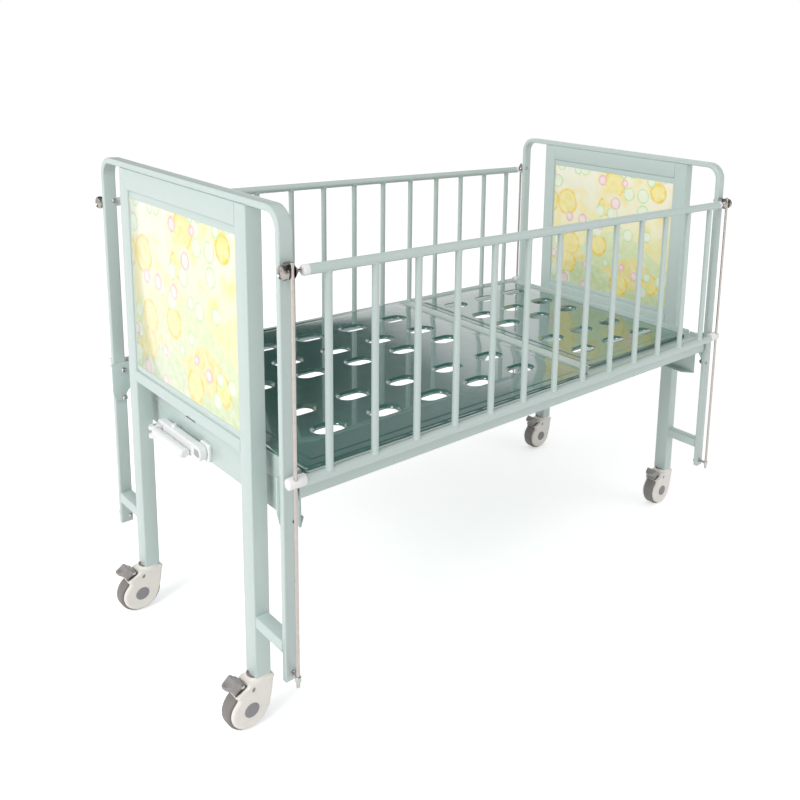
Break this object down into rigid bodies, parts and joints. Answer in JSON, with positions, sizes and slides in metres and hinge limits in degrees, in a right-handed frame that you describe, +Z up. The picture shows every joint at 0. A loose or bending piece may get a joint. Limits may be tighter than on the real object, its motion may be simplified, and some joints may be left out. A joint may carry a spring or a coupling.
{
  "type": "pediatric hospital cot",
  "caption": "Hospital cot with drop sides of upright bars, hooped panelled ends, a slotted deck with a crank-raised backrest and braked swivel casters.",
  "frame": {"origin": "on the floor under the middle of the whole cot's box", "axes": "+Z up, X along the cot with the foot end and crank at -X, Y across it with the near drop side at -Y"},
  "size_m": [1.576, 0.944, 1.18],
  "materials": {
    "mint_paint": "smooth powder coat",
    "deck_paint": "glossy enamel",
    "printed_board": "glossy print in yellow, pale green and pink",
    "white_nylon": "moulded nylon",
    "chrome": "bright plating",
    "plain_steel": "machined",
    "crank_plastic": "moulded",
    "caster_cream": "moulded",
    "tyre_grey": "grey non-marking",
    "pedal_grey": "moulded"
  },
  "bodies": {
    "bed": {"bed_hooks": "mint_paint", "caster_stems": "chrome", "crank_flange": "crank_plastic", "deck_cross_bar": "mint_paint", "dome_bolts": "mint_paint", "far_side_angle": "mint_paint", "foot_apron": "mint_paint", "foot_board_frame": "mint_paint", "foot_boards": "printed_board", "foot_deck": "deck_paint", "foot_end_angle": "mint_paint", "foot_hoop": "mint_paint", "foot_posts": "mint_paint", "foot_rails": "mint_paint", "guide_rods": "chrome", "head_apron": "mint_paint", "head_board_frame": "mint_paint", "head_boards": "printed_board", "head_end_angle": "mint_paint", "head_hoop": "mint_paint", "head_posts": "mint_paint", "head_rails": "mint_paint", "hinge_lugs": "mint_paint", "latch_bodies": "chrome", "near_side_angle": "mint_paint", "rod_feet": "plain_steel"},
    "backrest": {"back_deck": "deck_paint", "back_frame": "mint_paint"},
    "push_rod": {"push_tube": "mint_paint", "drive_nut": "plain_steel"},
    "screw": {"lift_screw": "plain_steel"},
    "crank_shaft": {"crank_sleeve": "plain_steel"},
    "crank_handle": {"crank_arm": "crank_plastic"},
    "crank_hand_grip": {"crank_grip": "crank_plastic"},
    "near_drop_side": {"near_side_tubes": "mint_paint", "near_side_bars": "mint_paint", "near_side_fittings": "white_nylon"},
    "far_drop_side": {"far_side_tubes": "mint_paint", "far_side_bars": "mint_paint", "far_side_fittings": "white_nylon"},
    "foot_near_latch": {"foot_near_latch_knob": "chrome"},
    "foot_near_caster": {"foot_near_caster_housing": "caster_cream"},
    "foot_near_caster_wheel": {"foot_near_wheel": "caster_cream", "foot_near_tyre": "tyre_grey"},
    "foot_near_brake": {"foot_near_brake_pedal": "pedal_grey"},
    "foot_far_latch": {"foot_far_latch_knob": "chrome"},
    "foot_far_caster": {"foot_far_caster_housing": "caster_cream"},
    "foot_far_caster_wheel": {"foot_far_wheel": "caster_cream", "foot_far_tyre": "tyre_grey"},
    "foot_far_brake": {"foot_far_brake_pedal": "pedal_grey"},
    "head_near_latch": {"head_near_latch_knob": "chrome"},
    "head_near_caster": {"head_near_caster_housing": "caster_cream"},
    "head_near_caster_wheel": {"head_near_wheel": "caster_cream", "head_near_tyre": "tyre_grey"},
    "head_near_brake": {"head_near_brake_pedal": "pedal_grey"},
    "head_far_latch": {"head_far_latch_knob": "chrome"},
    "head_far_caster": {"head_far_caster_housing": "caster_cream"},
    "head_far_caster_wheel": {"head_far_wheel": "caster_cream", "head_far_tyre": "tyre_grey"},
    "head_far_brake": {"head_far_brake_pedal": "pedal_grey"}
  },
  "joints": [
    {"name": "backrest_lift", "type": "hinge", "parent": "bed", "child": "backrest", "pos_m": [0.2325, 0, 0.633], "axis": [0, -1, 0], "range_deg": [0, 70]},
    {"name": "push_rod_slide", "type": "slide", "parent": "bed", "child": "push_rod", "axis": [1, 0, 0], "range_m": [0, 0.13797]},
    {"name": "screw_turn", "type": "hinge", "parent": "bed", "child": "screw", "pos_m": [-0.4695, 0, 0.524], "axis": [1, 0, 0], "continuous": true},
    {"name": "crank_turn", "type": "hinge", "parent": "bed", "child": "crank_shaft", "pos_m": [-0.6875, 0, 0.524], "axis": [1, 0, 0], "range_deg": [-200, 20]},
    {"name": "crank_pull_out", "type": "slide", "parent": "crank_shaft", "child": "crank_handle", "axis": [-1, 0, 0], "range_m": [0, 0.045]},
    {"name": "crank_grip_fold", "type": "hinge", "parent": "crank_handle", "child": "crank_hand_grip", "pos_m": [-0.7095, 0.203, 0.518], "axis": [0, 0, -1], "range_deg": [0, 90]},
    {"name": "near_side_drop", "type": "slide", "parent": "bed", "child": "near_drop_side", "axis": [0, 0, -1], "range_m": [0, 0.41]},
    {"name": "far_side_drop", "type": "slide", "parent": "bed", "child": "far_drop_side", "axis": [0, 0, -1], "range_m": [0, 0.41]},
    {"name": "foot_near_latch_pull", "type": "slide", "parent": "bed", "child": "foot_near_latch", "axis": [-1, 0, 0], "range_m": [0, 0.012], "stiffness_N_per_m": 400, "springref_m": -0.005},
    {"name": "foot_near_swivel", "type": "hinge", "parent": "bed", "child": "foot_near_caster", "pos_m": [-0.704, -0.292, 0.11], "axis": [0, 0, 1], "continuous": true},
    {"name": "foot_near_roll", "type": "hinge", "parent": "foot_near_caster", "child": "foot_near_caster_wheel", "pos_m": [-0.734, -0.292, 0.05], "axis": [0, 1, 0], "continuous": true},
    {"name": "foot_near_brake_press", "type": "hinge", "parent": "foot_near_caster", "child": "foot_near_brake", "pos_m": [-0.75, -0.292, 0.112], "axis": [0, -1, 0], "range_deg": [0, 12]},
    {"name": "foot_far_latch_pull", "type": "slide", "parent": "bed", "child": "foot_far_latch", "axis": [-1, 0, 0], "range_m": [0, 0.012], "stiffness_N_per_m": 400, "springref_m": -0.005},
    {"name": "foot_far_swivel", "type": "hinge", "parent": "bed", "child": "foot_far_caster", "pos_m": [-0.704, 0.292, 0.11], "axis": [0, 0, 1], "continuous": true},
    {"name": "foot_far_roll", "type": "hinge", "parent": "foot_far_caster", "child": "foot_far_caster_wheel", "pos_m": [-0.734, 0.292, 0.05], "axis": [0, 1, 0], "continuous": true},
    {"name": "foot_far_brake_press", "type": "hinge", "parent": "foot_far_caster", "child": "foot_far_brake", "pos_m": [-0.75, 0.292, 0.112], "axis": [0, -1, 0], "range_deg": [0, 12]},
    {"name": "head_near_latch_pull", "type": "slide", "parent": "bed", "child": "head_near_latch", "axis": [1, 0, 0], "range_m": [0, 0.012], "stiffness_N_per_m": 400, "springref_m": -0.005},
    {"name": "head_near_swivel", "type": "hinge", "parent": "bed", "child": "head_near_caster", "pos_m": [0.765, -0.292, 0.11], "axis": [0, 0, 1], "continuous": true},
    {"name": "head_near_roll", "type": "hinge", "parent": "head_near_caster", "child": "head_near_caster_wheel", "pos_m": [0.735, -0.292, 0.05], "axis": [0, 1, 0], "continuous": true},
    {"name": "head_near_brake_press", "type": "hinge", "parent": "head_near_caster", "child": "head_near_brake", "pos_m": [0.719, -0.292, 0.112], "axis": [0, -1, 0], "range_deg": [0, 12]},
    {"name": "head_far_latch_pull", "type": "slide", "parent": "bed", "child": "head_far_latch", "axis": [1, 0, 0], "range_m": [0, 0.012], "stiffness_N_per_m": 400, "springref_m": -0.005},
    {"name": "head_far_swivel", "type": "hinge", "parent": "bed", "child": "head_far_caster", "pos_m": [0.765, 0.292, 0.11], "axis": [0, 0, 1], "continuous": true},
    {"name": "head_far_roll", "type": "hinge", "parent": "head_far_caster", "child": "head_far_caster_wheel", "pos_m": [0.735, 0.292, 0.05], "axis": [0, 1, 0], "continuous": true},
    {"name": "head_far_brake_press", "type": "hinge", "parent": "head_far_caster", "child": "head_far_brake", "pos_m": [0.719, 0.292, 0.112], "axis": [0, -1, 0], "range_deg": [0, 12]}
  ],
  "couplings": [
    {"joint": "push_rod_slide", "follows": "backrest_lift", "m_per_rad": 0.11252},
    {"joint": "screw_turn", "follows": "backrest_lift", "ratio": -141.4}
  ]
}
